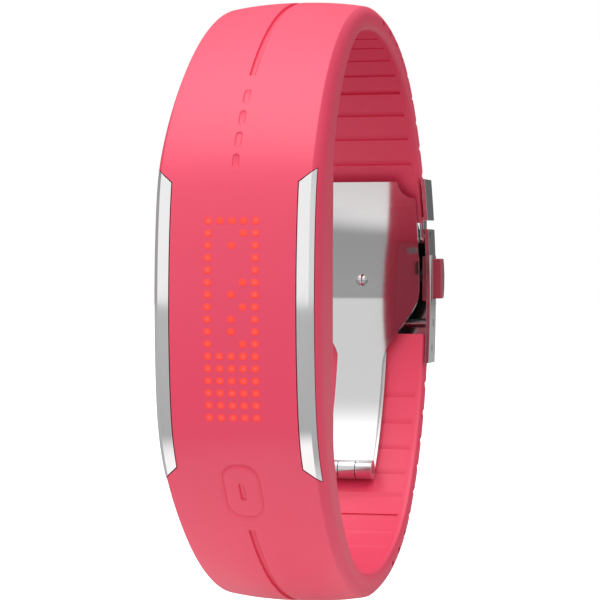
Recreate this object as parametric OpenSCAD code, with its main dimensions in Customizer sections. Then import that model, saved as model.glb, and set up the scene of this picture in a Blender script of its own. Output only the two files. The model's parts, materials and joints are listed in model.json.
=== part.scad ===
// Fitness tracker band: a silicone loop with an electronics capsule in its
// front and a fold-over clasp at its back. The wrist runs along X, the
// display faces -Y, and the origin is the centre of the loop.

/* [Loop] */
// Radius of the loop at the top and the bottom
loop_r = 37.9; // [37.4:0.1:38.2]
// Thickness of the straps beside the capsule
strap_t = 3.5; // [3.3:0.1:3.6]
// Distance of the front face from the loop's centre
front_y = 36; // [35.8:0.1:36.2]
// Distance of the skin side of the capsule from the loop's centre
skin_y = 25.3; // [25:0.1:25.5]

/* [Widths] */
// Width of the capsule
capsule_w = 19.2; // [19:0.1:19.4]
// Width of the straps
strap_w = 17.6; // [17.2:0.1:17.7]

/* [Strap holes] */
// Diameter of the cross holes for the strap pins
hole_d = 1.2; // [1:0.05:1.3]
// Distance between cross holes
hole_pitch = 4.1; // [3.9:0.1:4.2]
// Number of cross holes in each strap
hole_count = 9; // [5:1:9]

/* [Display] */
// Distance between light emitters
led_pitch = 1.41; // [1.35:0.01:1.45]
// Number of emitter columns
led_columns = 5; // [3:1:5]
// Number of emitter rows
led_rows = 17; // [9:1:17]

/* [Clasp] */
// Thickness of the clasp's sheet steel
sheet_t = 0.6; // [0.5:0.05:0.65]
// Diameter of the clasp's hinge pins
pin_d = 1.1; // [1:0.05:1.15]
// Travel of the side pushers
pusher_travel = 0.8; // [0.4:0.1:0.8]

/* [Hidden] */
$fn = 64;
far = 200;
slip = 0.05;

// Outline of the loop: a front arc, the loop circle and a flatter back arc
front_r = 95;
back_c = -7;
back_r = 41.8;
inner_r = loop_r - strap_t;
back_inner_r = 38.7;
capsule_inner_r = 38;
capsule_inner_c = 9;

// Middle of the strap: a circle about the origin, then one about back_c
mid_r = (loop_r + inner_r) / 2;
back_mid_r = (back_r + back_inner_r) / 2;
turn_a = 31.46;
turn_s = mid_r * turn_a * PI / 180;
turn_back_a = 40;
upper_s = 4.6;
lower_s = 10.1;
groove_lead = 1.6;
groove_r = 0.55;
half_strap = strap_w / 2;
half_capsule = capsule_w / 2;
narrow_z = 26;
split_y = -22;

// Flex point of the lower strap
flex_s = 7.5;
flex_end_r = 1.72;
flex_gap_r = 2.05;

// Capsule layers, as depths below the outer face
skin_t = 1.3;
frame_t = 1;
board_depth = 2.45;
board_t = 0.6;
frame_x = 7.4;
frame_top = 18.5;
frame_low = -18;
inside_x = frame_x - frame_t;
inside_top = frame_top - frame_t;
inside_low = frame_low + frame_t;
cover_t = 1.2;
cover_top = 16;
cover_low = -16;
rim_y = -skin_y - cover_t;
plug_t = 0.6;
plug_x = 5.9;
plug_top = 15.2;
plug_low = -15.2;
board_x = 5.8;
board_z = 12.4;
board_tab_x = 3.3;
led_size = 0.7;
mask_hole_d = 1.15;
led_mid_z = -1.65;
window_x = 3.9;
window_top = 11.3;
window_low = -14.6;
board_y = rim_y - plug_t;
main_t = 0.6;
screw_x = 4.9;
screw_z = 13.7;
chip_y = board_y - main_t;

main_x = 6.1;
main_z = 12.4;
battery_x = 5.9;
battery_low = -3.6;
battery_top = 12;
battery_t = 2.7;
pad_t = 0.4;
battery_y = chip_y - pad_t;
carrier_x = 4.2;
carrier_low = -10.4;
carrier_top = -6.4;
contact_d = 1.7;
contact_x = 2.3;
contact_z = (carrier_low + carrier_top) / 2;
magnet_x = 2.8;
magnet_z = -3.5;
magnet_r = 1.5;
touch_depth = 1.6;
touch_t = 0.25;

// Steel trims in the long sides, with slanted ends
trim_in = 7.9;
trim_face = 9.3;
trim_out = 9.75;
trim_back = -32.6;
trim_high = [14.05, 15.8];
trim_low = [-18.9, -20.4];
trim_bevel = [[trim_face, -far], [trim_face, 0.4 - front_y],
    [trim_out, 1.2 - front_y]];

// Clasp radii, all about back_c
inner_blade_r = 37.2;
middle_blade_r = 37.9;
plate_r = 42;
flange_low_r = 38.3;
flange_x = 9.5;
flange_t = 0.55;
flange_in = flange_x - flange_t;
blade_x = 8.15;
k_pin = [31.6, 8.9];
m_pin = [33.6, -3.4];
b_pin = [21.74, -23.3];
upper_pin = [30.45, 15];
lower_pin = [32.65, -6.9];
strap_pin_d = 1;
k_eye_gap = 0.78;
link_top = 16.6;
link_low = 10.95;
cover_high = 9.7;
cover_bottom = -9;
upper_end = 11.5;
lower_end = -5.4;
knuckle_r = 1.3;
barrel_x = 3.5;
centre_x = 1.15;
pusher_z = 2.8;
pusher_y = 33.2;
pusher_out = 11;
pusher_l = 5.6;
pusher_h = 2.2;
guide_x = 4.5;
lug_out = 8.75;
lug_t = 0.55;
end_wall = 0.4;
end_wall_r = 38.9;
neck_x = 3.1;
shoulder_z = 1;
shoulder_l = 10;
blade_top = 16.2;
notch = [3.7, 2.3];
eye_x = 7.6;
eye_r = 1.68;
spring_r = 0.55;
stud_z = 2.6;

silicone = [0.91, 0.36, 0.44];
steel = [0.78, 0.79, 0.8];
dark_steel = [0.55, 0.56, 0.58];
black = [0.12, 0.12, 0.13];
board_green = [0.1, 0.3, 0.18];
gold = [0.85, 0.66, 0.3];

// Point on the middle of the upper strap, s along it from the top
function strap_point(s) = s < turn_s
    ? [mid_r * sin(s / mid_r * 180 / PI), mid_r * cos(s / mid_r * 180 / PI)]
    : let (a = turn_back_a + (s - turn_s) / back_mid_r * 180 / PI)
        [back_c + back_mid_r * sin(a), back_mid_r * cos(a)];
function flipped(p) = [p[0], -p[1]];
flex_p = flipped(strap_point(flex_s));
function hole_s(start, i) = start + hole_pitch * i;
// Height of emitter row i, and the Y of a front arc at a depth and height
function led_z(i) = led_mid_z + led_pitch * ((led_rows - 1) / 2 - i);
function arc_y(depth, z) =
    front_r - front_y - sqrt(pow(front_r - depth, 2) - z * z);

// Extrudes a Y-Z outline along X, centred
module along_x(w) {
    rotate([90, 0, 90])
        linear_extrude(height = w, center = true)
            children();
}

// Keeps what lies between two X values
module between_x(x0, x1) {
    translate([(x0 + x1) / 2, 0, 0])
        along_x(x1 - x0)
            children();
}

module block(low, high) {
    translate(low)
        cube(high - low);
}

module cross_pin(p, d, x) {
    translate([-x, p[0], p[1]])
        rotate([0, 90, 0])
            cylinder(d = d, h = 2 * x);
}

module at(p) {
    translate(p)
        children();
}

// The loop's outer outline, moved inwards by depth
module loop_outline(depth) {
    intersection() {
        circle(r = loop_r - depth, $fn = 180);
        at([front_r - front_y, 0])
            circle(r = front_r - depth, $fn = 180);
        at([back_c, 0])
            circle(r = back_r - depth, $fn = 180);
    }
}

// The opening for the wrist
module wrist_outline() {
    intersection() {
        circle(r = inner_r, $fn = 180);
        at([capsule_inner_c, 0])
            circle(r = capsule_inner_r, $fn = 180);
        at([back_c, 0])
            circle(r = back_inner_r, $fn = 180);
        at([-skin_y, -far / 2])
            square([far, far]);
    }
}

module band_outline() {
    difference() {
        loop_outline(0);
        wrist_outline();
    }
}

// A layer of the capsule between two depths and two heights
module layer(depth0, depth1, z0, z1) {
    intersection() {
        difference() {
            loop_outline(depth0);
            loop_outline(depth1);
        }
        at([-far, z0])
            square([far, z1 - z0]);
    }
}

// Everything on the far side of the flex point
module lower_side() {
    intersection() {
        rotate(atan2(flex_p[1], flex_p[0]))
            square([far, far]);
        at([0, -far])
            square([far, far + lower_end]);
    }
}

// Width of the band, seen from the front
module width_limit() {
    rotate([90, 0, 0])
        linear_extrude(height = far)
            polygon([
                [-half_capsule, -16], [-half_capsule, 16],
                [-half_strap, narrow_z], [-half_strap, far],
                [half_strap, far], [half_strap, narrow_z],
                [half_capsule, 16], [half_capsule, -16],
                [half_strap, -narrow_z], [half_strap, -far],
                [-half_strap, -far], [-half_strap, -narrow_z]]);
}

// Cross holes and skin-side grooves of one strap; side is 1 or -1 in Z
module strap_cuts(start, side) {
    for (i = [0 : hole_count - 1]) {
        p = strap_point(hole_s(start, i));
        cross_pin([p[0], side * p[1]], hole_d, half_capsule);
    }
    for (i = [0 : hole_count - 2]) {
        s = hole_s(start, i) + groove_lead;
        p = strap_point(s);
        q = s < turn_s
            ? p * (inner_r / mid_r)
            : [back_c, 0] + (p - [back_c, 0]) * (back_inner_r / back_mid_r);
        cross_pin([q[0], side * q[1]], 2 * groove_r, half_strap - 0.9);
    }
}

// The one-piece moulding is three nodes: the capsule's cover, the upper
// strap, and the stub that carries the lower strap.
module upper_strap() {
    color(silicone)
        difference() {
            along_x(strap_w)
                intersection() {
                    band_outline();
                    at([split_y, upper_end])
                        square([far, far]);
                }
            strap_cuts(upper_s, 1);
            cross_pin(upper_pin, hole_d, half_capsule);
        }
}

module strap_root() {
    color(silicone)
        along_x(strap_w)
            difference() {
                intersection() {
                    band_outline();
                    at([split_y, -far])
                        square([far, far]);
                }
                lower_side();
                at(flex_p)
                    circle(r = flex_gap_r);
                square([2 * far, -2 * lower_end], center = true);
            }
}

module capsule_cover() {
    color(silicone)
        difference() {
            intersection() {
                along_x(2 * half_capsule)
                    intersection() {
                        band_outline();
                        at([-far, -far / 2])
                            square([far + split_y, far]);
                    }
                width_limit();
            }
            // room for the capsule's frame and for the cover over it
            along_x(2 * frame_x)
                capsule_outline(skin_t, frame_low, frame_top, rim_y);
            block([-frame_x, rim_y - 0.5, cover_low],
                [frame_x, -skin_y + 5, cover_top]);
            touch_outline();
            for (side = [-1, 1])
                trim_solid(side, [[trim_out, -far]]);
        }
}

module lower_strap() {
    color(silicone)
        difference() {
            along_x(strap_w)
                union() {
                    intersection() {
                        band_outline();
                        lower_side();
                    }
                    at(flex_p)
                        circle(r = flex_end_r);
                }
            strap_cuts(lower_s, -1);
            cross_pin(lower_pin, hole_d, half_capsule);
        }
}

// Steel trim let into one long side of the capsule
module trim_solid(side, edge = trim_bevel) {
    mirror([side < 0 ? 1 : 0, 0, 0])
        intersection() {
            along_x(far)
                intersection() {
                    loop_outline(-0.04);
                    at([-far, -far / 2])
                        square([far + trim_back, far]);
                }
            // slanted ends, and a bevel along the outer edge
            rotate([90, 0, 0])
                linear_extrude(height = far)
                    polygon([[trim_in, trim_low[0]], [trim_in, trim_high[0]],
                        [trim_out, trim_high[1]], [trim_out, trim_low[1]]]);
            linear_extrude(height = far, center = true)
                polygon([[trim_in, -far], each edge,
                    [trim_out, trim_back], [trim_in, trim_back]]);
        }
}

module left_trim() {
    color(steel)
        trim_solid(-1);
}

module right_trim() {
    color(steel)
        trim_solid(1);
}

// Space behind the silicone skin, down to the plane y1
module capsule_outline(depth, z0, z1, y1) {
    intersection() {
        loop_outline(depth);
        at([-far, z0])
            square([far + y1, z1 - z0]);
    }
}

module capsule_frame() {
    color(black)
        difference() {
            along_x(2 * frame_x)
                capsule_outline(skin_t, frame_low, frame_top, rim_y);
            difference() {
                along_x(2 * inside_x)
                    capsule_outline(skin_t + frame_t, inside_low, inside_top,
                        rim_y + 1);
                for (x = [-screw_x, screw_x])
                    for (z = [-screw_z, screw_z])
                        block([x - 1.5, -40, z - 1], [x + 1.5, board_y, z + 1]);
            }
            // window for the light mask, and a slot for the electrode's tail
            block([-window_x, -40, window_low], [window_x, -32, window_top]);
            block([-1, -40, frame_low - 1], [1, -31.2, inside_low + 1.1]);
            for (x = [-screw_x, screw_x])
                for (z = [-screw_z, screw_z])
                    at([x, -29.5, z])
                        rotate([-90, 0, 0])
                            cylinder(d = 1, h = 4);
        }
}

module light_mask() {
    color(black)
        difference() {
            along_x(2 * window_x)
                layer(skin_t, skin_t + frame_t, window_low, window_top);
            led_grid(mask_hole_d);
        }
}

module led_grid(d) {
    for (i = [0 : led_rows - 1])
        for (j = [0 : led_columns - 1])
            at([led_pitch * (j - (led_columns - 1) / 2), -31, led_z(i)])
                rotate([90, 0, 0])
                    cylinder(d = d, h = 6);
}

module display_leds() {
    color([1, 0.45, 0.3])
        for (i = [0 : led_rows - 1])
            for (j = [0 : led_columns - 1])
                at([led_pitch * (j - (led_columns - 1) / 2),
                    arc_y(board_depth, led_z(i)) - 0.25, led_z(i)])
                    cube([led_size, 0.4, led_size], center = true);
}

module display_board() {
    color(board_green) {
        along_x(2 * board_x)
            layer(board_depth, board_depth + board_t, -board_z, board_z);
        along_x(2 * board_tab_x)
            layer(board_depth, board_depth + board_t, -board_z - 2, -board_z);
    }
}

// Touch plate behind the moulded button, with a tail into the frame
module touch_outline() {
    along_x(4.6)
        layer(touch_depth, touch_depth + touch_t, -24.4, -18.8);
    along_x(1.8)
        layer(touch_depth, touch_depth + touch_t, -18.8, -16.1);
}

module touch_electrode() {
    color(gold)
        touch_outline();
}

module back_cover() {
    color(black)
        difference() {
            union() {
                block([-frame_x, rim_y, cover_low],
                    [frame_x, -skin_y, cover_top]);
                block([-plug_x, board_y, plug_low],
                    [plug_x, rim_y, plug_top]);
            }
            block([-carrier_x, board_y - 1, carrier_low],
                [carrier_x, -skin_y + 1, carrier_top]);
            for (x = [-screw_x, screw_x])
                for (z = [-screw_z, screw_z])
                    at([x, 0, z]) {
                        at([0, -30, 0])
                            rotate([-90, 0, 0])
                                cylinder(d = 1.15, h = 10);
                        at([0, -skin_y - 0.65, 0])
                            rotate([-90, 0, 0])
                                cylinder(d = 2, h = 2);
                    }
            for (x = [-1, 1])
                at([x * magnet_x, board_y - 1, magnet_z])
                    rotate([-90, 0, 0])
                        cylinder(r = magnet_r + slip, h = 2);
        }
}

module cover_seal() {
    color(dark_steel)
        difference() {
            block([-inside_x, board_y, -15.7], [inside_x, rim_y, 15.7]);
            block([-plug_x, board_y - 1, plug_low],
                [plug_x, rim_y + 1, plug_top]);
        }
}

module cover_screws() {
    color(steel)
        for (x = [-screw_x, screw_x])
            for (z = [-screw_z, screw_z])
                at([x, 0, z])
                    difference() {
                        rotate([-90, 0, 0])
                            union() {
                                at([0, 0, -29.3])
                                    cylinder(d = 0.96, h = 4);
                                at([0, 0, -skin_y - 0.65])
                                    cylinder(d = 1.9, h = 0.6);
                            }
                        at([0, -skin_y - 0.4, 0])
                            rotate([-90, 0, 0])
                                cylinder(d = 0.9, h = 1, $fn = 6);
                    }
}

module main_board() {
    color(board_green)
        block([-main_x, chip_y, -main_z], [main_x, board_y, main_z]);
}

// A chip on the front of the main board, centred at x and z
module chip(x, z, w, h, t) {
    block([x - w / 2, chip_y - t, z - h / 2], [x + w / 2, chip_y, z + h / 2]);
}

module processor() {
    color(black)
        chip(-3.2, -9.2, 4.4, 4.4, 0.8);
}

module radio_module() {
    color(steel)
        chip(2.2, -9.6, 3.8, 3.4, 1);
}

module motion_sensor() {
    color(black)
        chip(5, -6.6, 1.8, 1.6, 0.7);
}

module memory() {
    color(black)
        chip(2.4, -6.4, 2.4, 1.9, 0.6);
}

module charging_controller() {
    color(black)
        chip(-0.1, -6.4, 1.5, 1.5, 0.5);
}

module battery() {
    color(steel)
        difference() {
            block([-battery_x, battery_y - battery_t, battery_low],
                [battery_x, battery_y, battery_top]);
            for (x = [-battery_x, battery_x])
                at([x, battery_y - battery_t, battery_low - 1])
                    rotate([0, 0, 45])
                        cube([0.8, 0.8, 40], center = true);
        }
}

module battery_pad() {
    color(black)
        block([-battery_x + 0.6, battery_y, battery_low + 0.6],
            [battery_x - 0.6, chip_y, battery_top - 0.6]);
}

module battery_board() {
    color(board_green)
        block([-4.2, battery_y - 2.1, battery_low - 0.6],
            [4.2, battery_y - 0.3, battery_low]);
    color(steel)
        for (x = [-2.6, 2.6])
            block([x - 0.6, battery_y - 0.3, battery_low - 0.4],
                [x + 0.6, chip_y, battery_low - 0.2]);
}

module antenna() {
    color(gold)
        union() {
            block([-3, chip_y - 3, 12.8], [3, chip_y - 0.4, 13]);
            block([-3, chip_y - 3, 12.2], [-2.2, chip_y - 2.75, 13]);
            block([-3, chip_y - 0.4, 12.05], [-2.2, chip_y, 13]);
        }
}

// Flat cable folded from the display board to the main board
module flex_cable() {
    color([0.75, 0.45, 0.15])
        block([-3, -31.6, -11.9], [3, chip_y, -11.75]);
}

module contact_carrier() {
    color([0.2, 0.2, 0.21])
        difference() {
            block([-carrier_x, board_y, carrier_low],
                [carrier_x, -skin_y, carrier_top]);
            contact_places(contact_d + 2 * slip);
        }
}

module contact_places(d) {
    for (x = [-contact_x, 0, contact_x])
        at([x, board_y, contact_z])
            rotate([-90, 0, 0])
                cylinder(d = d, h = plug_t + cover_t);
}

module charging_contacts() {
    color(gold)
        contact_places(contact_d);
}

module locating_magnets() {
    color(steel)
        for (x = [-magnet_x, magnet_x])
            at([x, board_y, magnet_z])
                rotate([-90, 0, 0])
                    cylinder(r = magnet_r, h = 1);
}

// Part of a ring about back_c between two radii, two heights, behind y 0
module back_ring(r0, r1, z0, z1) {
    intersection() {
        difference() {
            at([back_c, 0])
                circle(r = r1, $fn = 180);
            at([back_c, 0])
                circle(r = r0, $fn = 180);
        }
        at([0, z0])
            square([far, z1 - z0]);
    }
}

// A curved plate with two side flanges
module channel(z0, z1) {
    along_x(2 * flange_x)
        back_ring(plate_r, plate_r + sheet_t, z0, z1);
    for (x = [-flange_x, flange_in])
        between_x(x, x + flange_t)
            back_ring(flange_low_r, plate_r + sheet_t / 2, z0, z1);
}

module upper_link() {
    color(steel)
        difference() {
            union() {
                channel(link_low, link_top);
                along_x(2 * flange_x)
                    back_ring(end_wall_r, plate_r + 0.1, link_low,
                        link_low + end_wall);
                for (x = [-lug_out, lug_out - lug_t])
                    between_x(x, x + lug_t)
                        union() {
                            at(k_pin)
                                circle(r = 1.2);
                            at([k_pin[0] - 1.2, k_pin[1]])
                                square([2.4, link_low - k_pin[1] + 0.2]);
                        }
            }
            cross_pin(upper_pin, strap_pin_d, far / 2);
            cross_pin(k_pin, strap_pin_d, far / 2);
        }
}

module upper_strap_pin() {
    color(dark_steel)
        cross_pin(upper_pin, strap_pin_d, flange_x);
}

module link_hinge_pin() {
    color(dark_steel)
        cross_pin(k_pin, strap_pin_d, lug_out);
}

// Outline of the inner blade, seen from the front
function smooth(t) = t * t * (3 - 2 * t);
function blade_half(t) = blade_x - (blade_x - neck_x) * smooth(t);
module blade_side() {
    polygon([[0, -far], [0, blade_top], [blade_x, blade_top],
        for (t = [0 : 0.1 : 1]) [blade_half(t), shoulder_z - shoulder_l * t],
        [neck_x, -far]]);
}

module blade_outline() {
    rotate([90, 0, 0])
        linear_extrude(height = 2 * far, center = true)
            for (side = [0, 1])
                mirror([side, 0])
                    difference() {
                        blade_side();
                        at([blade_x, blade_top])
                            scale(notch[1])
                                circle(r = 1);
                    }
}

// Keeps or removes a disc about the barrel's axis
module barrel_disc(r, x0, x1) {
    for (side = [0, 1])
        mirror([side, 0, 0])
            between_x(x0, x1)
                at(b_pin)
                    circle(r = r);
}

module inner_blade() {
    color(steel)
        difference() {
            union() {
                difference() {
                    intersection() {
                        along_x(2 * blade_x)
                            back_ring(inner_blade_r, inner_blade_r + sheet_t,
                                b_pin[1], blade_top);
                        blade_outline();
                    }
                    barrel_disc(knuckle_r + 0.15, centre_x, barrel_x + 1);
                }
                between_x(-centre_x, centre_x)
                    at(b_pin)
                        circle(r = knuckle_r);
                // eye for the link's pin, with room for the open pivot
                along_x(2 * eye_x)
                    union() {
                        at(k_pin)
                            circle(r = eye_r);
                        intersection() {
                            at([k_pin[0] - 2.4, k_pin[1] - 1])
                                square([2.4, 2]);
                            at([back_c, 0])
                                difference() {
                                    circle(r = 40, $fn = 180);
                                    circle(r = inner_blade_r + 0.3,
                                        $fn = 180);
                                }
                        }
                    }
            }
            cross_pin(k_pin, strap_pin_d + 2 * k_eye_gap, blade_x + 1);
            cross_pin(b_pin, pin_d + 2 * slip, barrel_x);
            at([0, 0, stud_z])
                rotate([-90, 0, 0])
                    cylinder(d = 1.24, h = far);
        }
}
module catch_stud() {
    color(steel)
        at([0, 0, stud_z])
            rotate([-90, 0, 0])
                intersection() {
                    union() {
                        at([0, 0, 30])
                            cylinder(d = 1.2, h = 2.2);
                        intersection() {
                            at([0, 0, 30.2])
                                sphere(r = 0.85);
                            at([0, 0, 29.3])
                                cylinder(r = 1, h = 0.78);
                        }
                    }
                    at([0, 0, 29])
                        cylinder(r = 1, h = far);
                }
}

module middle_blade() {
    color(dark_steel)
        difference() {
            union() {
                difference() {
                    along_x(2 * barrel_x)
                        back_ring(middle_blade_r, middle_blade_r + sheet_t,
                            b_pin[1], m_pin[1]);
                    barrel_disc(knuckle_r + 0.15, -centre_x, centre_x + 0.1);
                }
                barrel_disc(knuckle_r, centre_x + 0.1, barrel_x);
                along_x(2 * barrel_x)
                    union() {
                        at(m_pin)
                            circle(r = 1.15);
                        intersection() {
                            at([m_pin[0] - 2.5, m_pin[1] - 0.9])
                                square([2.5, 1.8]);
                            at([back_c, 0])
                                difference() {
                                    circle(r = 41, $fn = 180);
                                    circle(r = middle_blade_r + 0.05,
                                        $fn = 180);
                                }
                        }
                    }
            }
            cross_pin(m_pin, pin_d + 2 * slip, barrel_x + 1);
            cross_pin(b_pin, pin_d + 0.02, barrel_x + 1);
        }
}

module barrel_pin() {
    color(dark_steel)
        cross_pin(b_pin, pin_d, barrel_x);
}

// Window for a pusher in a flange, and the same outline for the pusher
module pusher_outline(grow) {
    at([pusher_y, pusher_z])
        intersection() {
            square([pusher_h + 2 * grow, pusher_l + 2 * grow], center = true);
            at([-pusher_l, 0])
                circle(r = pusher_l + pusher_h / 2 + grow, $fn = 96);
        }
}

module clasp_cover() {
    color(steel)
        difference() {
            union() {
                channel(cover_bottom, cover_high);
                // raised rim around each pusher
                for (x = [-flange_x - 0.3, flange_x])
                    between_x(x, x + 0.3)
                        pusher_outline(0.45);
            }
            along_x(far)
                pusher_outline(slip);
            cross_pin(m_pin, pin_d + 0.02, far / 2);
            cross_pin(lower_pin, strap_pin_d + 0.02, far / 2);
            cross_pin(k_pin, 0.9, far / 2);
        }
}

module cover_hinge_pin() {
    color(dark_steel)
        cross_pin(m_pin, pin_d, flange_x);
}

module lower_strap_pin() {
    color(dark_steel)
        cross_pin(lower_pin, strap_pin_d, flange_x);
}

// Block in the cover that carries the springs and takes the catch stud
module pusher_guide() {
    color(dark_steel)
        difference() {
            along_x(2 * guide_x)
                back_ring(38.7, plate_r, pusher_z - 3, pusher_z + 3.4);
            at([0, 0, stud_z + 0.3])
                rotate([-90, 0, 0])
                    cylinder(r = 1.5, h = 34);
        }
}

module pusher(side) {
    color(steel)
        mirror([side < 0 ? 1 : 0, 0, 0]) {
            between_x(flange_in - 0.1, pusher_out)
                pusher_outline(0);
            between_x(flange_in - 0.7, flange_in - 0.1)
                pusher_outline(0.35);
        }
}

module right_pusher() {
    pusher(1);
}

module left_pusher() {
    pusher(-1);
}

// Return spring, drawn short by the pusher's travel
module pusher_spring(side) {
    coils = 4;
    wire = 0.15;
    low = guide_x + wire;
    high = flange_in - 0.7 - pusher_travel - wire - 0.05;
    color(dark_steel)
        mirror([side < 0 ? 1 : 0, 0, 0])
            at([0, pusher_y, pusher_z])
                rotate([0, 90, 0]) {
                    for (i = [0 : coils])
                        at([0, 0, low + (high - low) * i / coils])
                            rotate_extrude()
                                at([spring_r, 0])
                                    circle(r = wire, $fn = 16);
                    at([0, spring_r, low])
                        cylinder(r = wire, h = high - low, $fn = 16);
                }
}

module right_pusher_spring() {
    pusher_spring(1);
}

module left_pusher_spring() {
    pusher_spring(-1);
}

capsule_cover();
upper_strap();
strap_root();
lower_strap();
left_trim();
right_trim();
display_leds();
light_mask();
display_board();
touch_electrode();
capsule_frame();
back_cover();
cover_seal();
cover_screws();
main_board();
processor();
radio_module();
motion_sensor();
memory();
charging_controller();
antenna();
flex_cable();
battery();
battery_pad();
battery_board();
contact_carrier();
charging_contacts();
locating_magnets();
upper_link();
upper_strap_pin();
link_hinge_pin();
inner_blade();
catch_stud();
middle_blade();
barrel_pin();
clasp_cover();
cover_hinge_pin();
lower_strap_pin();
pusher_guide();
right_pusher();
left_pusher();
right_pusher_spring();
left_pusher_spring();
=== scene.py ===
"""Looks of the fitness tracker band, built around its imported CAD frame.

The loop lies in the Y-Z plane, the wrist runs along X, and the display faces -Y.
Lengths below are in millimetres and are turned into metres by mm().
"""
import json
import math

import bmesh
import bpy
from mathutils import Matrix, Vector


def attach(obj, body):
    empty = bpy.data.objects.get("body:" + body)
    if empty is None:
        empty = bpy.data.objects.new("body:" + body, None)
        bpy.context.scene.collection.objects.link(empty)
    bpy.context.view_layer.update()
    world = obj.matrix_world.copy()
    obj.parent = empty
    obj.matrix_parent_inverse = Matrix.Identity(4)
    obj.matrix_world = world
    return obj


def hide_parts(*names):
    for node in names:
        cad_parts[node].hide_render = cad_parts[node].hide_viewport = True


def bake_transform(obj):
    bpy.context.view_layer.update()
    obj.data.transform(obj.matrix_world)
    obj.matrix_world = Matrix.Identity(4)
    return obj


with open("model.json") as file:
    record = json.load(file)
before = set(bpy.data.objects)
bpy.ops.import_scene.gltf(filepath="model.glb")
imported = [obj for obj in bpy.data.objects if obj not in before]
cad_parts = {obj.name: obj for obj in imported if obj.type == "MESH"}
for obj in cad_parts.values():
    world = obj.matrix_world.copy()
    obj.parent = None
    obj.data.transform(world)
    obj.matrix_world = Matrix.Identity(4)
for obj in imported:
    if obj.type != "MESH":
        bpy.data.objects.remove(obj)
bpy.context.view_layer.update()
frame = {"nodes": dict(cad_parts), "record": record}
nodes = frame["nodes"]

# ---------------------------------------------------------------- dimensions
LOOP_R = 37.2          # loop radius along the straps' edge creases
CROWN = 0.65           # how far the middle of the band stands above its edges
FRONT_R = 95.0         # radius of the capsule's front face
FRONT_Y = 35.45        # distance of its edge crease from the origin
BACK_C = -7.0          # centre of the flatter arcs at the clasp
BACK_R = 41.2
STRAP_IN_R = 34.4
BACK_IN_R = 38.7
SKIN_Y = 25.3          # the capsule's flat skin side
CAPSULE_IN_R = 38.0    # arc that joins the skin side to the straps
CAPSULE_IN_C = 9.0
HOLE_R = 0.6
HOLE_PITCH = 4.1
HOLE_COUNT = 9
UPPER_S = 4.6          # first hole, measured along the strap from the top or the bottom
LOWER_S = 10.1
GROOVE_LEAD = 1.6      # from a hole to its cutting groove
GROOVE_DEEP = 0.19
GROOVE_FADE = 0.8      # length over which a groove fades out
GROOVE_HALF = 7.7
END_HOLES = ((30.45, 15.0), (32.65, -6.9))     # Y and Z of the clasp's own strap pins
MID_R = 36.15          # the straps' middle line
BACK_MID_R = 40.25
TURN_S = MID_R * math.radians(31.46)
TURN_BACK_A = 40.0
UPPER_END = (33.0, 11.5)    # Y and Z of the straps' ends
LOWER_END = (34.2, -5.4)
TRIM_IN = 7.62         # inner edge of a trim
TRIM_GAP = 0.12        # open line between a trim and the silicone
TRIM_CHAMFER = 0.5
TRIM_DEEP = 1.2
TRIM_TOP = (14.05, 15.6)    # Z of a trim's upper end, at its inner and outer edge
TRIM_LOW = (-18.9, -20.4)
TRIM_SLANT_RUN = 1.88       # width over which those ends slant
TRIM_OUT = 10.4             # past a trim's outer edge
TRIM_INSET = 0.03           # a trim's chamfer starts this far inside the crease
TRIM_SPAN = (19.0, -23.0)
CHANNEL_HALF = 0.4
CHANNEL_DEEP = 0.35
CHANNEL_SLOPE = 0.5
CHANNEL_BACK = (20, 345)    # degrees where the two channels end behind
CHANNEL_Z = (26.9, -26.6)   # where the channel ends above and below the display
DASH_Z = (24.3, 21.7, 19.1, 16.5)
DASH_SIZE = (0.85, 1.8, 0.15)       # width, height and depth
BUTTON_Z = -21.8
BUTTON_SIZE = (4.4, 6.4)
BUTTON_R = 1.8
BUTTON_LINE = (0.3, 0.2)            # half width and depth of its outline
SLOT_SIZE = (0.72, 2.2, 0.25)
OPENING = (7.45, 16.05)             # half width and height of the skin side's opening
LED_PITCH = 1.41
LED_MID_Z = -1.65
LED_SIZE = (1.06, 0.92, 0.4)        # width, height and corner radius of a lit dot
LED_STEPS = ((1.0, 0.0, 0.004), (0.78, 0.45, 0.02), (0.5, 0.8, 0.03), (0.22, 0.95, 0.034))
LED_TOP = 0.035
LED_COLUMNS = 5
LED_LINES = 17
LED_BAR_FROM = 11                   # lines from here down are lit all across
LED_ZIGZAG = {1: 3, 2: 2, 5: 3, 6: 2, 7: 3, 8: 2, 9: 2, 10: 3}     # line and column of the inner dots


def mm(*values):
    """Millimetres to metres, as one number or a vector."""
    if len(values) == 1:
        return values[0] * 0.001
    return Vector(values) * 0.001


# ------------------------------------------------------------------ profiles
def smooth_min(values, power):
    """The smallest value, with the change from one to another rounded off."""
    return sum(v ** -power for v in values) ** (-1 / power)


def ray_to_circle(a, centre_y, r):
    """Distance from the origin to a circle about (centre_y, 0), along angle a."""
    b = centre_y * math.cos(a)
    return b + math.sqrt(r * r - centre_y ** 2 * math.sin(a) ** 2)


def ease(t):
    """0 to 1 with a soft start and stop."""
    t = min(max(t, 0.0), 1.0)
    return t * t * (3 - 2 * t)


def front_to_back(a, front, back):
    """Passes from the front's value to the back's over the loop's top and bottom."""
    return front + (back - front) * ease((math.cos(a) + 0.15) / 0.3)


def edge_radius(a):
    """Polar radius of the crease between the outer face and the side, a from +Y."""
    front = ray_to_circle(a, FRONT_R - FRONT_Y, FRONT_R)
    back = ray_to_circle(a, BACK_C, BACK_R)
    return front_to_back(a, smooth_min((LOOP_R + 0.25, front + 0.05), 90),
                         smooth_min((LOOP_R + 0.05, back), 120))


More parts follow.
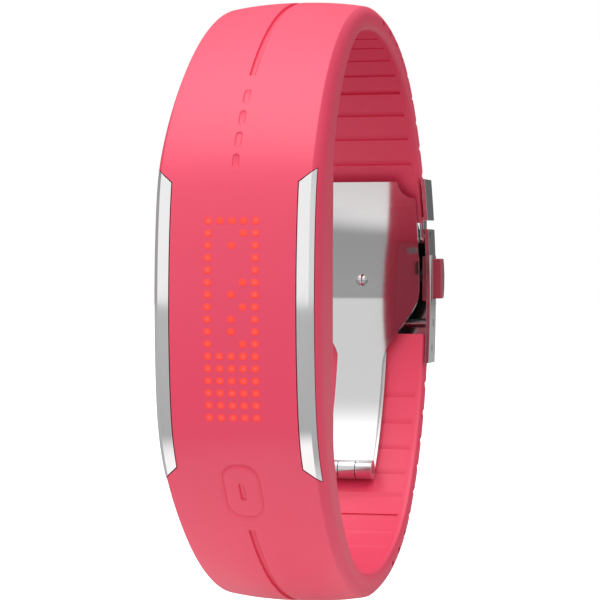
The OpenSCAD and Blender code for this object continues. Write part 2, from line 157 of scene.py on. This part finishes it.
def inner_radius(a):
    """Polar radius of the skin side."""
    c = math.cos(a)
    flat = SKIN_Y / -c if c < -1e-6 else 1e6
    capsule = ray_to_circle(a, CAPSULE_IN_C, CAPSULE_IN_R)
    back = ray_to_circle(a, BACK_C, BACK_IN_R)
    return front_to_back(a, smooth_min((STRAP_IN_R, flat, capsule), 90),
                         smooth_min((STRAP_IN_R + 0.05, back), 120))


def crease_half_width(a):
    """Half the width between the two creases, from the loop's front to its back."""
    z = edge_radius(a) * math.sin(a)
    narrowing = 0.85 if z > 0 else 0.75
    return front_to_back(a, 9.02 - narrowing * max(0.0, (abs(z) - 14) / 23.6) ** 2, 8.25)


def side_bulge(a):
    """How far the side wall swells past the crease: most beside the capsule."""
    z = abs(edge_radius(a) * math.sin(a))
    return front_to_back(a, 0.95 - 0.33 * ease((z - 15) / 20), 0.62)


def crease_round(a):
    """Rounding of the crease: crisp in front, soft on the straps behind."""
    return 0.06 + 0.94 * ease((math.cos(a) - 0.12) / 0.5)


def crown_radius(x, a):
    """Polar radius of the crowned outer face at X."""
    return edge_radius(a) + CROWN * (1 - abs(x / crease_half_width(a)) ** 2.3)


def bezier_point(p0, p1, p2, p3, t):
    u = 1 - t
    return tuple(u ** 3 * a + 3 * u * u * t * b + 3 * u * t * t * c + t ** 3 * d
                 for a, b, c, d in zip(p0, p1, p2, p3))


def bezier(p0, p1, p2, p3, count):
    """Points after p0 up to p3."""
    return [bezier_point(p0, p1, p2, p3, i / count) for i in range(1, count + 1)]


def section(a):
    """Half cross-section at angle a, from the middle of the outer face to the middle inside."""
    outer = edge_radius(a)
    inner = inner_radius(a)
    w = crease_half_width(a)
    bulge = side_bulge(a)
    soft = crease_round(a)
    deep = outer - inner
    face = 26
    across = [(w - soft) * i / face for i in range(face + 1)]
    points = [(x, crown_radius(x, a)) for x in across]
    fall = min(2.2, 0.36 * deep)
    widest = (w + bulge, outer - fall)
    wall = ((w, outer), (w + 0.32 * bulge, outer - 0.17 * fall),
            (w + 0.84 * bulge, outer - 0.46 * fall), widest)
    first = 0.03 + 0.62 * soft
    after = bezier_point(*wall, first)
    shoulder = (w - soft * 0.3, crown_radius(w - soft * 0.3, a))
    toward = ((shoulder[0] + after[0] * 2) / 3, (outer + after[1]) / 2)
    points += bezier(points[-1], shoulder, toward, after, 5)
    points += [bezier_point(*wall, first + (1 - first) * i / 8) for i in range(1, 9)]
    turn = 0.5 + 0.02 * deep
    foot = (w + bulge - 0.045 * deep, inner + turn)
    points += bezier(widest, (widest[0], widest[1] + 0.3 * (foot[1] - widest[1])),
                     (foot[0] + 0.12, foot[1] - 0.3 * (foot[1] - widest[1])), foot, 6)
    points += bezier(foot, (foot[0] - 0.06, inner + 0.4 * turn), (foot[0] - 0.5 * turn, inner),
                     (foot[0] - 1.3 * turn, inner), 8)
    last_x = points[-1][0]
    back = 14
    points += [(last_x * (1 - i / back), inner) for i in range(1, back + 1)]
    return points


def polar(x, r, a):
    """A point at X and at radius r and angle a in the loop's plane."""
    return mm(x, r * math.cos(a), r * math.sin(a))


def angle_at(z):
    """The polar angle of the front face at height Z."""
    low, high = math.radians(91), math.radians(269)
    for _ in range(40):
        middle = (low + high) / 2
        if crown_radius(0, middle) * math.sin(middle) > z:
            low = middle
        else:
            high = middle
    return low


def on_face(x, z, lift=0.0):
    """A point on the front face, lift millimetres off it."""
    a = angle_at(z)
    return polar(x, crown_radius(x, a) + lift, a)


# ------------------------------------------------------------------- objects
def new_object(name, bm, smooth=40):
    mesh = bpy.data.meshes.new(name)
    bmesh.ops.recalc_face_normals(bm, faces=bm.faces)
    bm.to_mesh(mesh)
    bm.free()
    obj = bpy.data.objects.new(name, mesh)
    bpy.context.scene.collection.objects.link(obj)
    shade(obj, smooth)
    return obj


def shade(obj, angle):
    """Smooth shading, with edges past the angle kept sharp."""
    mesh = obj.data
    mesh.polygons.foreach_set("use_smooth", [True] * len(mesh.polygons))
    mesh.set_sharp_from_angle(angle=math.radians(angle))


def apply_modifiers(obj):
    bpy.context.view_layer.update()
    graph = bpy.context.evaluated_depsgraph_get()
    mesh = bpy.data.meshes.new_from_object(obj.evaluated_get(graph), depsgraph=graph)
    obj.modifiers.clear()
    obj.data = mesh


def cut(obj, cutters, operation="DIFFERENCE"):
    """Applies one exact boolean with all the cutters joined in a collection."""
    group = bpy.data.collections.new("cutters")
    bpy.context.scene.collection.children.link(group)
    for cutter in cutters:
        for owner in list(cutter.users_collection):
            owner.objects.unlink(cutter)
        group.objects.link(cutter)
    boolean = obj.modifiers.new("cut", "BOOLEAN")
    boolean.operation = operation
    boolean.operand_type = "COLLECTION"
    boolean.collection = group
    boolean.solver = "EXACT"
    apply_modifiers(obj)
    for cutter in cutters:
        bpy.data.objects.remove(cutter)
    bpy.data.collections.remove(group)


def join_rings(bm, one, two):
    """A band of quads between two rings with the same number of vertices."""
    for k in range(len(one)):
        j = (k + 1) % len(one)
        bm.faces.new((one[k], one[j], two[j], two[k]))


def prism(name, outline, low, high, axis="X"):
    """A closed prism: outline in the plane across the axis, between low and high, all in mm."""
    place = {"X": lambda u, v, w: mm(w, u, v),
             "Y": lambda u, v, w: mm(u, w, v)}[axis]
    bm = bmesh.new()
    bottom = [bm.verts.new(place(u, v, low)) for u, v in outline]
    top = [bm.verts.new(place(u, v, high)) for u, v in outline]
    bm.faces.new(bottom)
    bm.faces.new(top)
    join_rings(bm, bottom, top)
    return new_object(name, bm)


def circle(centre, r, count=24):
    angles = [math.tau * i / count for i in range(count)]
    return [(centre[0] + r * math.cos(a), centre[1] + r * math.sin(a)) for a in angles]


def rounded_rectangle(centre, w, h, r, count=8):
    points = []
    for k, (sx, sy) in enumerate(((1, 1), (-1, 1), (-1, -1), (1, -1))):
        for i in range(count + 1):
            a = math.pi / 2 * (k + i / count)
            points.append((centre[0] + sx * (w / 2 - r) + r * math.cos(a),
                           centre[1] + sy * (h / 2 - r) + r * math.sin(a)))
    return points


def strap_point(s, inward=0.0):
    """A point in the upper strap, s along it from the top and inward from its middle line."""
    if s < TURN_S:
        r = MID_R - inward
        return r * math.sin(s / MID_R), r * math.cos(s / MID_R)
    a = math.radians(TURN_BACK_A) + (s - TURN_S) / BACK_MID_R
    r = BACK_MID_R - inward
    return BACK_C + r * math.sin(a), r * math.cos(a)


def loops_to_object(name, rings, smooth=40):
    """A closed bar through rings of points, with both ends capped."""
    bm = bmesh.new()
    loops = [[bm.verts.new(p) for p in ring] for ring in rings]
    for one, two in zip(loops, loops[1:]):
        join_rings(bm, one, two)
    bm.faces.new(loops[0])
    bm.faces.new(list(reversed(loops[-1])))
    return new_object(name, bm, smooth)


def swept(name, profile, start, stop, count):
    """A bar along the loop from angle start to stop; profile(a) gives its corners as (x, radius)."""
    rings = []
    for i in range(count + 1):
        a = start + (stop - start) * i / count
        rings.append([polar(x, r, a) for x, r in profile(a)])
    return loops_to_object(name, rings)


def face_dimple(name, x, z, w, h, depth):
    """A closed plug through the front face with sloping sides; w and h are its size at the face."""
    flare = 0.15
    rings = []
    for grow, lift in ((-flare, -depth), (flare, depth)):
        outline = rounded_rectangle((x, z), w + 2 * grow, h + 2 * grow, w / 2 + grow - 0.005)
        rings.append([on_face(u, v, lift) for u, v in outline])
    return loops_to_object(name, rings)


def face_groove(name, x, z, w, h, r, half, depth):
    """A closed ring through the front face that cuts a V groove; w and h run along its bottom."""
    above = 0.3     # how far the cutter stands proud
    flare = half * (1 + above / depth)
    bm = bmesh.new()
    loops = []
    for grow, lift in ((0.0, -depth), (flare, above), (-flare, above)):
        outline = rounded_rectangle((x, z), w + 2 * grow, h + 2 * grow, r + grow)
        loops.append([bm.verts.new(on_face(u, v, lift)) for u, v in outline])
    for one, two in zip(loops, loops[1:] + loops[:1]):
        join_rings(bm, one, two)
    return new_object(name, bm)


# ------------------------------------------------------------------ silicone
def band_mesh():
    """The whole moulding, from the upper strap's end round the front to the lower strap's end."""
    start = math.atan2(UPPER_END[1], UPPER_END[0])
    stop = math.tau + math.atan2(LOWER_END[1], LOWER_END[0])
    count = 520
    rings = []
    for i in range(count + 1):
        a = start + (stop - start) * i / count
        half = section(a)
        ring = half + [(-x, r) for x, r in reversed(half[1:-1])]
        rings.append([polar(x, r, a) for x, r in ring])
    return loops_to_object("silicone", rings, 50)


def trim_outline(grow=0.0):
    """Outline of the right trim seen from the front, in X and Z."""
    slope_top = (TRIM_TOP[1] - TRIM_TOP[0]) / TRIM_SLANT_RUN
    slope_low = (TRIM_LOW[1] - TRIM_LOW[0]) / TRIM_SLANT_RUN
    reach = TRIM_OUT - TRIM_IN
    return [(TRIM_IN - grow, TRIM_LOW[0] - grow * 0.6), (TRIM_IN - grow, TRIM_TOP[0] + grow * 0.6),
            (TRIM_OUT, TRIM_TOP[0] + slope_top * reach + grow),
            (TRIM_OUT, TRIM_LOW[0] + slope_low * reach - grow)]


def mirrored(outline):
    return [(-u, v) for u, v in reversed(outline)]


def sided(points, side):
    return [(side * x, r) for x, r in points]


def trim_section(side):
    """Cross-section of a trim: a flat face flush with the crown, then a chamfer."""
    def profile(a):
        edge = edge_radius(a) + 0.01
        w = crease_half_width(a) - TRIM_INSET
        low = edge_radius(a) - TRIM_DEEP
        return sided([(TRIM_IN, low), (TRIM_IN, crown_radius(TRIM_IN, a)), (w, edge),
                      (w + TRIM_CHAMFER, edge - TRIM_CHAMFER), (w + TRIM_CHAMFER, low)], side)
    return profile


def recess_section(side):
    """Cross-section of a trim's recess, with a gap along its inner edge."""
    def profile(a):
        edge = edge_radius(a)
        w = crease_half_width(a)
        return sided([(TRIM_IN - TRIM_GAP, edge - TRIM_DEEP), (TRIM_IN - TRIM_GAP, edge + 3),
                      (w + TRIM_CHAMFER, edge + 3), (w + TRIM_CHAMFER, edge - TRIM_DEEP)], side)
    return profile


def trim_bar(name, section_of, side, grow):
    """A bar along the capsule's edge with its two ends cut aslant."""
    bar = swept(name, section_of(side), angle_at(TRIM_SPAN[0]), angle_at(TRIM_SPAN[1]), 90)
    outline = trim_outline(grow)
    if side < 0:
        outline = mirrored(outline)
    cut(bar, [prism("ends", outline, -44, -20, "Y")], "INTERSECT")
    return bar


def channel_section(a):
    """Cross-section of the centre channel: one steep wall and one sloping wall."""
    top = crown_radius(0, a)
    lean = CHANNEL_SLOPE / 2
    return [(-CHANNEL_HALF, top - CHANNEL_DEEP), (-CHANNEL_HALF, top + 1),
            (CHANNEL_HALF + lean / CHANNEL_DEEP, top + 1), (CHANNEL_HALF - lean, top - CHANNEL_DEEP)]


def wedge_groove(s, side):
    """A shallow cutting line across the skin side: a small step that fades upward."""
    inward = MID_R - STRAP_IN_R if s < TURN_S else BACK_MID_R - BACK_IN_R
    outline = []
    for along, depth in ((0.0, GROOVE_DEEP), (0.0, -0.3), (GROOVE_FADE, -0.3), (GROOVE_FADE, -0.02)):
        y, z = strap_point(s - side * along, inward - depth)
        outline.append((y, side * z))
    return prism("groove", outline, -GROOVE_HALF, GROOVE_HALF)


def silicone_cutters():
    cutters = [trim_bar("recess", recess_section, side, TRIM_GAP) for side in (1, -1)]
    # the centre channel and the plain dashes above the display
    behind = [math.radians(v) for v in CHANNEL_BACK]
    cutters.append(swept("channel", channel_section, behind[0], angle_at(CHANNEL_Z[0]), 110))
    cutters.append(swept("channel", channel_section, angle_at(CHANNEL_Z[1]), behind[1], 120))
    for z in DASH_Z:
        cutters.append(face_dimple("dash", 0, z, *DASH_SIZE))
    # the touch button's outline and its slot
    cutters.append(face_groove("button", 0, BUTTON_Z, *BUTTON_SIZE, BUTTON_R, *BUTTON_LINE))
    cutters.append(face_dimple("slot", 0, BUTTON_Z, *SLOT_SIZE))
    # cross holes through both straps, and the cutting grooves inside them
    for start, side in ((UPPER_S, 1), (LOWER_S, -1)):
        for i in range(HOLE_COUNT):
            y, z = strap_point(start + HOLE_PITCH * i)
            cutters.append(prism("hole", circle((y, side * z), HOLE_R), -12, 12))
        for i in range(HOLE_COUNT - 1):
            cutters.append(wedge_groove(start + GROOVE_LEAD + HOLE_PITCH * i, side))
    for y, z in END_HOLES:
        cutters.append(prism("hole", circle((y, z), HOLE_R), -12, 12))
    # opening for the back cover
    w, h = OPENING
    cutters.append(prism("opening", [(-w, -h), (w, -h), (w, h), (-w, h)], -26.5, -20, "Y"))
    return cutters


def keep_faces(obj, wanted):
    """Drops the faces whose centre isn't wanted."""
    bm = bmesh.new()
    bm.from_mesh(obj.data)
    gone = [f for f in bm.faces if not wanted(f.calc_center_median())]
    bmesh.ops.delete(bm, geom=gone, context="FACES")
    bm.to_mesh(obj.data)
    bm.free()


def in_lower_strap(point):
    return point.y > 0 and point.z < 0


silicone = band_mesh()
cut(silicone, silicone_cutters())
shade(silicone, 38)
silicone_lower = silicone.copy()
silicone_lower.data = silicone.data.copy()
bpy.context.scene.collection.objects.link(silicone_lower)
silicone.name = "silicone_capsule_and_strap"
silicone_lower.name = "silicone_lower_strap"
keep_faces(silicone, lambda centre: not in_lower_strap(centre))
keep_faces(silicone_lower, in_lower_strap)
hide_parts("capsule_cover", "upper_strap", "strap_root")
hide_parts("lower_strap")
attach(silicone, "root")
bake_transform(silicone_lower)


# --------------------------------------------------------- trims and display
def add_piece(obj, slot, body, *replaced):
    if replaced:
        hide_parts(*replaced)
    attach(obj, body)
    pieces.append((obj, slot))


def bevelled(obj, width, segments=2, angle=30):
    bevel = obj.modifiers.new("bevel", "BEVEL")
    bevel.width = mm(width)
    bevel.segments = segments
    bevel.limit_method = "ANGLE"
    bevel.angle_limit = math.radians(angle)
    bevel.harden_normals = True
    apply_modifiers(obj)


def is_lit(row, column):
    """The display shows a frame, a filled bar at its lower end and a short zigzag."""
    frame_or_bar = column in (0, LED_COLUMNS - 1) or row == 0 or row >= LED_BAR_FROM
    return frame_or_bar or LED_ZIGZAG.get(row) == column


def display_dots():
    """The lit dots, soft-edged: their glow value falls from the middle to the rim."""
    bm = bmesh.new()
    glow = bm.verts.layers.float.new("glow")
    for row in range(LED_LINES):
        for column in range(LED_COLUMNS):
            if not is_lit(row, column):
                continue
            x0 = (column - 2) * LED_PITCH
            z0 = LED_MID_Z + (8 - row) * LED_PITCH
            full = 1.0 if column in (0, 4) or row >= LED_BAR_FROM else 0.86
            rings = []
            for scale, value, lift in LED_STEPS:
                w, h, r = [scale * v for v in LED_SIZE]
                outline = rounded_rectangle((x0, z0), w, h, r, 4)
                ring = [bm.verts.new(on_face(x, z, lift)) for x, z in outline]
                for vert in ring:
                    vert[glow] = value * full
                rings.append(ring)
            for one, two in zip(rings, rings[1:]):
                join_rings(bm, one, two)
            middle = bm.verts.new(on_face(x0, z0, LED_TOP))
            middle[glow] = full
            last = rings[-1]
            for k in range(len(last)):
                bm.faces.new((last[k], last[(k + 1) % len(last)], middle))
    return new_object("display_glow", bm, 60)


pieces = []
for side, name in ((1, "right"), (-1, "left")):
    trim = trim_bar(name + "_trim_bar", trim_section, side, 0.0)
    bevelled(trim, 0.05)
    add_piece(trim, "trim_steel", "root", name + "_trim")
add_piece(display_dots(), "emitter", "root", "display_leds")


# --------------------------------------------------------------------- clasp
def softened(node, width):
    """A copy of a CAD node with its sharp edges rounded, which stands for it."""
    bm = bmesh.new()
    bm.from_mesh(nodes[node].data)
    bmesh.ops.remove_doubles(bm, verts=bm.verts, dist=1e-6)
    bmesh.ops.dissolve_limit(bm, angle_limit=math.radians(0.5), verts=bm.verts, edges=bm.edges)
    obj = new_object(node + "_rounded", bm, 30)
    bevelled(obj, width, 3, 32)
    add_piece(obj, slot_of[node], body_of[node], node)


slot_of = {part["node"]: part["material_slot"] for part in frame["record"]["subparts"]}
bodies = frame["record"]["behaviour"]["bodies"]
body_of = {node: body for body, members in bodies.items() for node in members}
for node, width in (("inner_blade", 0.12), ("middle_blade", 0.12), ("clasp_cover", 0.16),
                    ("upper_link", 0.12), ("right_pusher", 0.3), ("left_pusher", 0.3)):
    softened(node, width)


# ----------------------------------------------------------------- materials
def srgb(code):
    """Linear colour from a six-digit sRGB code."""
    values = [int(code[i:i + 2], 16) / 255 for i in (0, 2, 4)]
    return [v / 12.92 if v <= 0.04045 else ((v + 0.055) / 1.055) ** 2.4 for v in values] + [1.0]


def material(name, colour, rough, metal=0.0, grain=0.0, grain_mm=0.3, rough_variation=0.05, coat=0.0,
             gloss=0.5, brushed=None, colour2=None):
    """A procedural material: noise moves its colour and roughness, and a fine bump gives its grain.

    colour2 is the other end of its colour variation, or 4% darker where it isn't given. grain is the
    bump's depth in mm, and brushed is the grain's scale along each axis.
    """
    mat = bpy.data.materials.new(name)
    mat.use_nodes = True
    tree = mat.node_tree
    shader = tree.nodes["Principled BSDF"]
    shader.inputs["Metallic"].default_value = metal
    shader.inputs["Coat Weight"].default_value = coat
    shader.inputs["Specular IOR Level"].default_value = gloss
    place = tree.nodes.new("ShaderNodeTexCoord")
    base = srgb(colour)
    other = srgb(colour2) if colour2 else [c * 0.96 for c in base[:3]] + [1.0]
    broad = tree.nodes.new("ShaderNodeTexNoise")
    broad.inputs["Scale"].default_value = 60
    broad.inputs["Detail"].default_value = 4
    tree.links.new(place.outputs["Object"], broad.inputs["Vector"])
    mix = tree.nodes.new("ShaderNodeMix")
    mix.data_type = "RGBA"
    mix.inputs["A"].default_value = base
    mix.inputs["B"].default_value = other
    tree.links.new(broad.outputs["Fac"], mix.inputs["Factor"])
    tree.links.new(mix.outputs["Result"], shader.inputs["Base Color"])
    fine = tree.nodes.new("ShaderNodeTexNoise")
    fine.inputs["Scale"].default_value = 1000 / grain_mm / 2
    fine.inputs["Detail"].default_value = 3
    if brushed:
        mapping = tree.nodes.new("ShaderNodeMapping")
        mapping.inputs["Scale"].default_value = brushed
        tree.links.new(place.outputs["Object"], mapping.inputs["Vector"])
        tree.links.new(mapping.outputs["Vector"], fine.inputs["Vector"])
    else:
        tree.links.new(place.outputs["Object"], fine.inputs["Vector"])
    span = tree.nodes.new("ShaderNodeMapRange")
    span.inputs["To Min"].default_value = max(rough - rough_variation, 0.02)
    span.inputs["To Max"].default_value = rough + rough_variation
    tree.links.new(fine.outputs["Fac"], span.inputs["Value"])
    tree.links.new(span.outputs["Result"], shader.inputs["Roughness"])
    if grain:
        bump = tree.nodes.new("ShaderNodeBump")
        bump.inputs["Strength"].default_value = 1.0
        bump.inputs["Distance"].default_value = mm(grain)
        tree.links.new(fine.outputs["Fac"], bump.inputs["Height"])
        tree.links.new(bump.outputs["Normal"], shader.inputs["Normal"])
    return mat


def ramp_node(tree, stops):
    """A colour ramp through stops of position and colour code."""
    ramp = tree.nodes.new("ShaderNodeValToRGB")
    elements = ramp.color_ramp.elements
    elements[0].position, elements[0].color = stops[0][0], srgb(stops[0][1])
    elements[1].position, elements[1].color = stops[-1][0], srgb(stops[-1][1])
    for place, colour in stops[1:-1]:
        elements.new(place).color = srgb(colour)
    return ramp


def glow_material():
    """Light shining through the silicone: red-orange round a pink middle, fading out at the rim."""
    mat = material("display_light", SILICONE, 0.46, colour2=SILICONE_2)
    tree = mat.node_tree
    shader = tree.nodes["Principled BSDF"]
    value = tree.nodes.new("ShaderNodeAttribute")
    value.attribute_name = "glow"
    body = ramp_node(tree, ((0.0, SILICONE), (0.35, "F6403E"), (0.75, "FC402C"), (0.93, "FF4E32"),
                            (1.0, "E8408C")))
    light = ramp_node(tree, ((0.0, "000000"), (0.3, "4A0A08"), (0.75, "801A10"), (0.93, "8E3422"),
                             (1.0, "7A2038")))
    for ramp, socket in ((body, "Base Color"), (light, "Emission Color")):
        tree.links.new(value.outputs["Fac"], ramp.inputs["Fac"])
        tree.links.new(ramp.outputs["Color"], shader.inputs[socket])
    shader.inputs["Emission Strength"].default_value = 1.0
    return mat


SILICONE = "E6385C"
SILICONE_2 = "E23458"
MATERIALS = {
    "silicone": material("silicone_pink", SILICONE, 0.44, grain=0.003, grain_mm=0.12, gloss=0.8,
                         colour2=SILICONE_2),
    "trim_steel": material("trim_polished_steel", "EAEAEA", 0.1, metal=1.0, rough_variation=0.03,
                           brushed=(1, 1, 0.05), grain=0.0008),
    "emitter": glow_material(),
    "cover_plastic": material("cover_pink", "D9546E", 0.42, grain=0.005, colour2="D34C66"),
    # painted reflection: the pushers' dark pink is the pink band as their polished metal would mirror
    # it, painted into their colour
    "pusher_plastic": material("pusher_painted_band_reflection", "A33A4C", 0.22, coat=0.6, colour2="9A3446"),
    "black_plastic": material("black_plastic", "17171A", 0.45, grain=0.006),
    "circuit_board": material("solder_mask", "0C3A1E", 0.35, grain=0.004),
    "chip_black": material("chip_black", "0E0E10", 0.5, grain=0.006),
    "shield_steel": material("shield_steel", "B8B8BC", 0.3, metal=1.0, grain=0.002),
    "gold_contact": material("gold_contact", "D9A84E", 0.25, metal=1.0, grain=0.001),
    "seal_rubber": material("seal_rubber", "202022", 0.6, grain=0.006),
    "screw_steel": material("pin_steel", "A9A9AD", 0.28, metal=1.0, grain=0.001),
    "cable_film": material("cable_film", "9A5A1C", 0.35, grain=0.003),
    "mirror_steel": material("mirror_steel", "CACACA", 0.05, metal=1.0, rough_variation=0.02),
    "brushed_steel": material("polished_steel", "D0CFD0", 0.14, metal=1.0, rough_variation=0.04,
                              brushed=(0.05, 1, 1), grain=0.001),
    "spring_steel": material("spring_steel", "909094", 0.3, metal=1.0, grain=0.001),
}


def paint(obj, slot):
    """Gives an object its slot's material."""
    obj.data.materials.clear()
    obj.data.materials.append(MATERIALS[slot])


paint(silicone, "silicone")
paint(silicone_lower, "silicone")
for piece, slot in pieces:
    paint(piece, slot)
for part in frame["record"]["subparts"]:
    paint(nodes[part["node"]], part["material_slot"])


# ------------------------------------------------------------ stage and view
def area_light(name, place, target, size, power):
    """A soft light that doesn't show in the steel's reflections."""
    light = bpy.data.lights.new(name, "AREA")
    light.shape = "RECTANGLE"
    light.size, light.size_y = size
    light.energy = power
    obj = bpy.data.objects.new(name, light)
    obj.visible_glossy = False
    obj.location = place
    obj.rotation_euler = (Vector(target) - Vector(place)).to_track_quat("-Z", "Y").to_euler()
    bpy.context.scene.collection.objects.link(obj)


def span_node(tree, source, low, high, start, stop):
    """A smooth ramp from start to stop while source goes from low to high."""
    span = tree.nodes.new("ShaderNodeMapRange")
    span.interpolation_type = "SMOOTHSTEP"
    for name, value in (("From Min", low), ("From Max", high), ("To Min", start), ("To Max", stop)):
        span.inputs[name].default_value = value
    tree.links.new(source, span.inputs["Value"])
    return span.outputs["Result"]


def product_node(tree, one, two):
    product = tree.nodes.new("ShaderNodeMath")
    product.operation = "MULTIPLY"
    tree.links.new(one, product.inputs[0])
    tree.links.new(two, product.inputs[1])
    return product.outputs["Value"]


def colour_mix(tree, factor, first, second):
    """A mix of two colours, each a code or a socket."""
    mix = tree.nodes.new("ShaderNodeMix")
    mix.data_type = "RGBA"
    tree.links.new(factor, mix.inputs["Factor"])
    for name, value in (("A", first), ("B", second)):
        if isinstance(value, str):
            mix.inputs[name].default_value = srgb(value)
        else:
            tree.links.new(value, mix.inputs[name])
    return mix.outputs["Result"]


def floor_material():
    """Plain pale floor, which sends back less light than it shows, most of it from below the object."""
    mat = material("floor_white", "FDFDFD", 0.9)
    tree = mat.node_tree
    shader = tree.nodes["Principled BSDF"]
    place = tree.nodes.new("ShaderNodeTexCoord")
    reach = tree.nodes.new("ShaderNodeVectorMath")
    reach.operation = "DISTANCE"
    reach.inputs[1].default_value = mm(0, -34, 0)
    tree.links.new(place.outputs["Object"], reach.inputs[0])
    far = span_node(tree, reach.outputs["Value"], mm(26), mm(53), 0.0, 1.0)
    sent = colour_mix(tree, far, "D8D8D8", "737375")
    ray = tree.nodes.new("ShaderNodeLightPath")
    shown = colour_mix(tree, ray.outputs["Is Camera Ray"], sent, "FDFDFD")
    tree.links.new(shown, shader.inputs["Base Color"])
    shader.inputs["Emission Color"].default_value = (1, 1, 1, 1)
    shader.inputs["Emission Strength"].default_value = 0.22
    return mat


FLOOR_Z = -45.0
bm = bmesh.new()
bmesh.ops.create_grid(bm, x_segments=1, y_segments=1, size=3.0)
floor = new_object("floor", bm)
floor.location.z = mm(FLOOR_Z)
floor.data.materials.append(floor_material())

# The studio is brightest overhead and fades towards the back. The camera itself sees plain white.
world = bpy.data.worlds.new("studio")
bpy.context.scene.world = world
world.use_nodes = True
sky = world.node_tree
background = sky.nodes["Background"]
background.inputs["Color"].default_value = (1, 1, 1, 1)
direction = sky.nodes.new("ShaderNodeTexCoord")
parts = sky.nodes.new("ShaderNodeSeparateXYZ")
sky.links.new(direction.outputs["Generated"], parts.inputs["Vector"])
front = span_node(sky, parts.outputs["Y"], -0.75, 0.85, 1.04, 0.16)
right = span_node(sky, parts.outputs["X"], 0.1, 0.5, 1.0, 0.98)
upward = sky.nodes.new("ShaderNodeVectorMath")
upward.operation = "DOT_PRODUCT"
upward.inputs[1].default_value = (0.0, 0.26, 0.966)
sky.links.new(direction.outputs["Generated"], upward.inputs[0])
overhead = span_node(sky, upward.outputs["Value"], 0.4, 0.92, 1.0, 3.6)
strength = product_node(sky, product_node(sky, front, right), overhead)
shown = sky.nodes.new("ShaderNodeMix")
ray = sky.nodes.new("ShaderNodeLightPath")
sky.links.new(ray.outputs["Is Camera Ray"], shown.inputs["Factor"])
sky.links.new(strength, shown.inputs["A"])
shown.inputs["B"].default_value = 1.0
sky.links.new(shown.outputs["Result"], background.inputs["Strength"])
bpy.context.scene.view_settings.view_transform = "Standard"

area_light("key", (-0.25, -0.45, 0.35), (0, 0, 0), (0.3, 0.3), 0.45)

# The camera stands in front, a little to the right, 4 mm above the loop's centre.
VIEW_A = math.radians(14.5)
VIEW_DISTANCE = 310.0
VIEW_CENTRE = (-0.28, -3.5, 4.0)
SENSOR = 36.0
FRAME = 600                 # the picture's side
FOCUS = 2440.0              # focal length on the same scale
SINK = 30                   # the middle of the picture lies this far below the camera's axis
camera_data = bpy.data.cameras.new("camera")
camera_data.sensor_width = SENSOR
camera_data.lens = FOCUS / FRAME * SENSOR
camera_data.shift_y = -SINK / FRAME
camera_data.clip_start = 0.01
camera = bpy.data.objects.new("camera", camera_data)
camera.location = mm(VIEW_CENTRE[0] + VIEW_DISTANCE * math.sin(VIEW_A),
                     VIEW_CENTRE[1] - VIEW_DISTANCE * math.cos(VIEW_A), VIEW_CENTRE[2])
camera.rotation_euler = (math.pi / 2, 0, VIEW_A)
bpy.context.scene.collection.objects.link(camera)
bpy.context.scene.camera = camera
